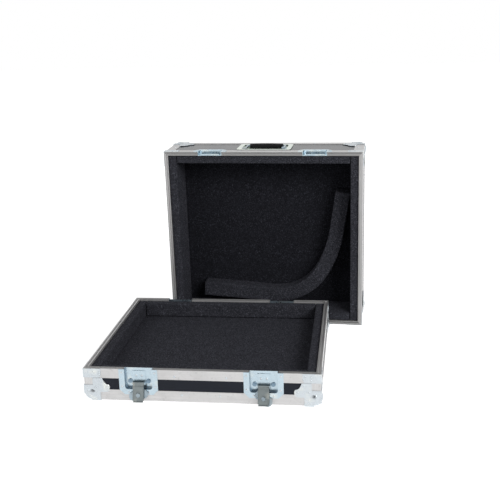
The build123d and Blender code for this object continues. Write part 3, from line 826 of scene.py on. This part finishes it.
class CASE_OT_hardware(bpy.types.Operator):
    """Gives the corners, latches and keepers their zinc plating"""
    bl_idname = "case.hardware"
    bl_label = "Corners and latches"

    def execute(self, context):
        colours = context.scene.case_colours
        corners = [f"{half}_{part}" for half in ("base", "lid")
                   for part in ("ball_corners", "corner_braces")]
        dress(corners, zinc_finish("zinc_pressings", colours.corners))
        dish = zinc_finish("zinc_latch_dish", colours.zinc, recessed=LID_PLACE)
        dress(["latch_dishes"], dish)
        keeper = zinc_finish("zinc_keeper_dish", colours.zinc, grey=1.05)
        dress(["keeper_dishes"], keeper)
        fittings = ["keeper_strikes", "latch_brackets", "latch_pins"]
        dress(fittings, zinc_finish("zinc_fittings", colours.zinc))
        wings = [f"latch_butterfly_{number}" for number in range(1, 5)]
        dress(wings, zinc_finish("zinc_wings", colours.zinc, grey=0.9))
        levers = [f"latch_{part}_{number}" for part in ("arm", "hook") for number in range(1, 5)]
        # Painted reflection: a darker, greyer zinc for the tilted arms and hooks
        lever = zinc_finish("zinc_levers_painted_reflection", colours.levers, grey=0.92, rough=0.08)
        dress(levers, lever)
        return {"FINISHED"}


class CASE_OT_handle(bpy.types.Operator):
    """Finishes the carrying handle"""
    bl_idname = "case.handle"
    bl_label = "Handle"

    def execute(self, context):
        colours = context.scene.case_colours
        dish = zinc_finish("zinc_handle_dish", HANDLE_DISH, grey=1.05)
        dress(["handle_dish"], dish)
        bar = zinc_finish("zinc_handle_bar", colours.zinc, grey=0.8)
        dress(["handle_pins", "handle_bail"], bar)
        dress(["handle_grip"], rubber_finish(colours.rubber))
        return {"FINISHED"}


class CASE_OT_wall_lining(bpy.types.Operator):
    """Lines the walls of both halves with foam"""
    bl_idname = "case.wall_lining"
    bl_label = "Wall lining"

    def execute(self, context):
        foam_finish("charcoal_foam", context.scene.case_colours.foam)
        # Painted shade: a darker copy of the foam for the back sheet deep in the cavity
        foam_finish("painted_shade_foam", context.scene.case_colours.back_foam_painted_shade)
        base_sides = ("bottom", "right", "top", "left")
        lid_sides = ("front", "right", "back", "left")
        line_walls("base", base_sides, BASE_HEIGHT, BASE_FLOOR, BASE_PLACE, BASE_WALL_SEED)
        line_walls("lid", lid_sides, LID_HEIGHT, LID_FLOOR, LID_PLACE, LID_WALL_SEED)
        return {"FINISHED"}


class CASE_OT_floor_lining(bpy.types.Operator):
    """Lays foam on the closed panel of both halves"""
    bl_idname = "case.floor_lining"
    bl_label = "Floor lining"

    def execute(self, context):
        back, floor = "base_foam_back", "lid_foam_floor"
        # The back sheet gets the darker foam, a painted shade for the cavity's shadow
        line_floor("base", back, BASE_FLOOR, BASE_PLACE, BASE_FLOOR_SEED, "painted_shade_foam")
        line_floor("lid", floor, LID_FLOOR, LID_PLACE, LID_FLOOR_SEED, "charcoal_foam")
        return {"FINISHED"}


class CASE_OT_curved_strip(bpy.types.Operator):
    """Bends the foam strip that lies on the deep half's back foam"""
    bl_idname = "case.curved_strip"
    bl_label = "Curved strip"

    def execute(self, context):
        def bend(points):
            """Lays a straight slab's points along the strip's route."""
            x, y = strip_route(points[:, 0], points[:, 1])
            return np.stack([x, y, points[:, 2]], 1)

        floor = PANEL_INNER + BASE_FLOOR
        low = (0.0, -STRIP_WIDTH / 2 - STRIP_SPARE, floor)
        high = (strip_length(), STRIP_WIDTH / 2, floor + STRIP_DEPTH)
        node = "base_foam_strip"
        foam_piece("base_curved_strip", node, "base", low, high, BASE_PLACE, STRIP_SEED, bend)
        return {"FINISHED"}


class CASE_OT_rivets(bpy.types.Operator):
    """Sets the domed rivets through the edging and the hardware"""
    bl_idname = "case.rivets"
    bl_label = "Rivets"

    def execute(self, context):
        base = side_rivets(BASE_HEIGHT, stands=True) + face_rivets()
        base += dish_rivets(BASE_HEIGHT, KEEPER_RIVETS, stands=True)
        rivet_heads("base_rivets", "base", base, BASE_PLACE)
        lid = side_rivets(LID_HEIGHT, stands=False) + face_rivets()
        lid += dish_rivets(LID_HEIGHT, LATCH_RIVETS, stands=False)
        rivet_heads("lid_rivets", "lid", lid, LID_PLACE)
        return {"FINISHED"}


class CASE_OT_corner_webs(bpy.types.Operator):
    """Fills the corner pressings between their lobes, as their real outline does"""
    bl_idname = "case.corner_webs"
    bl_label = "Corner webs"

    def execute(self, context):
        corner_webs("base_corner_webs", "base", BASE_PLACE, web_outline(free=True))
        corner_webs("lid_corner_webs", "lid", LID_PLACE, web_outline(free=False))
        return {"FINISHED"}


class CASE_OT_stage(bpy.types.Operator):
    """Sets the floor, the light and the camera"""
    bl_idname = "case.stage"
    bl_label = "Stage"

    def execute(self, context):
        stage = context.scene.case_stage
        lay_floor()
        soft_light("key", stage.key_power, KEY_PLACE, KEY_SIZE)
        soft_light("fill", stage.fill_power, FILL_PLACE, FILL_SIZE)
        white_surround(context.scene, stage.sky)
        set_camera(context.scene, stage.lens)
        return {"FINISHED"}


# Stage

def seen_as_white(tree):
    """One for rays from the camera, from metal and through glass, and none for the light on the
    object."""
    path = add_node(tree, "LightPath").outputs
    seen = maths(tree, "MAXIMUM", path["Is Camera Ray"], path["Is Glossy Ray"])
    return maths(tree, "MAXIMUM", seen, path["Is Transmission Ray"])


def lay_floor():
    """A wide pale floor that shows white and keeps a soft shadow."""
    corners = FLOOR_REACH * np.array([[-1, -1, 0], [1, -1, 0], [1, 1, 0], [-1, 1, 0]])
    material, tree, shader = new_material("pale_floor")
    grain = noise(tree, object_place(tree), scale=3.0, detail=2.0)
    set_inputs(tree, shader, {
        "Base Color": tint(tree, grain, (0.74, 0.74, 0.74), (0.76, 0.76, 0.76)),
        "Roughness": 1.0,
        "Specular IOR Level": 0.0,
    })
    away = add_node(tree, "VectorMath", {0: object_place(tree)}, operation="LENGTH")
    level = spread(tree, away.outputs["Value"], FLOOR_FADE, FLOOR_GLOW)
    strength = maths(tree, "MULTIPLY", seen_as_white(tree), level)
    glow = add_node(tree, "Emission", {"Color": (1, 1, 1, 1), "Strength": strength})
    layers = {0: shader.outputs["BSDF"], 1: glow.outputs["Emission"]}
    both = add_node(tree, "AddShader", layers).outputs[0]
    output = next(n for n in tree.nodes if n.bl_idname == "ShaderNodeOutputMaterial")
    set_inputs(tree, output, {"Surface": both})
    mesh_piece("floor", corners, [[0, 1, 2, 3]], material)


def soft_light(name, power, where, size):
    """A square area light turned to the object."""
    lamp = bpy.data.lights.new(name, "AREA")
    lamp.energy, lamp.size = power, size
    made = bpy.data.objects.new(name, lamp)
    made.location = where
    heading = Vector(LIGHT_TARGET) - Vector(where)
    made.rotation_euler = heading.to_track_quat("-Z", "Y").to_euler()
    bpy.context.scene.collection.objects.link(made)


def white_surround(scene, strength):
    """An even sky on the object that is seen as white. Metal also mirrors a dark end of the studio,
    which lies ahead of the object's front and above it."""
    world = bpy.data.worlds.new("surround")
    world.use_nodes = True
    tree = world.node_tree
    tree.nodes.clear()
    white = spread(tree, seen_as_white(tree), (0.0, 1.0), (strength, 1.0))
    ray = add_node(tree, "TexCoord").outputs["Generated"]
    toward = add_node(tree, "VectorMath", {0: ray, 1: DARK_END}, operation="DOT_PRODUCT")
    darkness = spread(tree, toward.outputs["Value"], DARK_END_COSINES, (0.0, DARK_END_SHARE))
    glossy = add_node(tree, "LightPath").outputs["Is Glossy Ray"]
    light = maths(tree, "SUBTRACT", 1.0, maths(tree, "MULTIPLY", glossy, darkness))
    level = maths(tree, "MULTIPLY", white, light)
    sky = add_node(tree, "Background", {"Color": (1, 1, 1, 1), "Strength": level})
    add_node(tree, "OutputWorld", {"Surface": sky.outputs[0]})
    scene.world = world
    scene.view_settings.view_transform = "Standard"


def set_camera(scene, lens):
    """The photograph's camera: its place, and its turn as yaw, then pitch, then roll."""
    (cos_y, cos_p, cos_r), (sin_y, sin_p, sin_r) = np.cos(CAMERA_TURNS), np.sin(CAMERA_TURNS)
    yaw = np.array([[cos_y, sin_y, 0], [-sin_y, cos_y, 0], [0, 0, 1]])
    pitch = np.array([[1, 0, 0], [0, cos_p, -sin_p], [0, sin_p, cos_p]])
    roll = np.array([[cos_r, 0, sin_r], [0, 1, 0], [-sin_r, 0, cos_r]])
    right, forward, up = roll @ pitch @ yaw
    matrix = np.eye(4)
    matrix[:3, 0], matrix[:3, 1], matrix[:3, 2] = right, up, -forward
    matrix[:3, 3] = np.array(CAMERA_PLACE) * MM
    data = bpy.data.cameras.new("camera")
    data.lens, data.sensor_width = lens, SENSOR_WIDTH
    camera = bpy.data.objects.new("camera", data)
    camera.matrix_world = Matrix(matrix.tolist())
    scene.collection.objects.link(camera)
    scene.camera = camera


class CASE_PT_panel(bpy.types.Panel):
    """Lists the steps that dress the case"""
    bl_label = "Transport case"
    bl_idname = "CASE_PT_panel"
    bl_space_type = "VIEW_3D"
    bl_region_type = "UI"
    bl_category = "Case"

    def draw(self, context):
        for step in STEPS:
            self.layout.operator(step.bl_idname)
        scene = context.scene
        for group in (scene.case_sizes, scene.case_colours, scene.case_stage):
            for name in group.bl_rna.properties.keys():
                if name not in ("rna_type", "name"):
                    self.layout.prop(group, name)


STEPS = (CASE_OT_panels, CASE_OT_edging, CASE_OT_hardware, CASE_OT_handle,
         CASE_OT_wall_lining, CASE_OT_floor_lining, CASE_OT_curved_strip,
         CASE_OT_rivets, CASE_OT_corner_webs, CASE_OT_stage)
CLASSES = (CaseSizes, CaseColours, CaseStage) + STEPS + (CASE_PT_panel,)


def register():
    for made in CLASSES:
        bpy.utils.register_class(made)
    bpy.types.Scene.case_sizes = bpy.props.PointerProperty(type=CaseSizes)
    bpy.types.Scene.case_colours = bpy.props.PointerProperty(type=CaseColours)
    bpy.types.Scene.case_stage = bpy.props.PointerProperty(type=CaseStage)


def unregister():
    del bpy.types.Scene.case_stage
    del bpy.types.Scene.case_colours
    del bpy.types.Scene.case_sizes
    for made in reversed(CLASSES):
        bpy.utils.unregister_class(made)


def main():
    """Runs each step in order."""
    register()
    bpy.ops.case.panels()
    bpy.ops.case.edging()
    bpy.ops.case.hardware()
    bpy.ops.case.handle()
    bpy.ops.case.wall_lining()
    bpy.ops.case.floor_lining()
    bpy.ops.case.curved_strip()
    bpy.ops.case.rivets()
    bpy.ops.case.corner_webs()
    bpy.ops.case.stage()


if __name__ == "__main__":
    main()
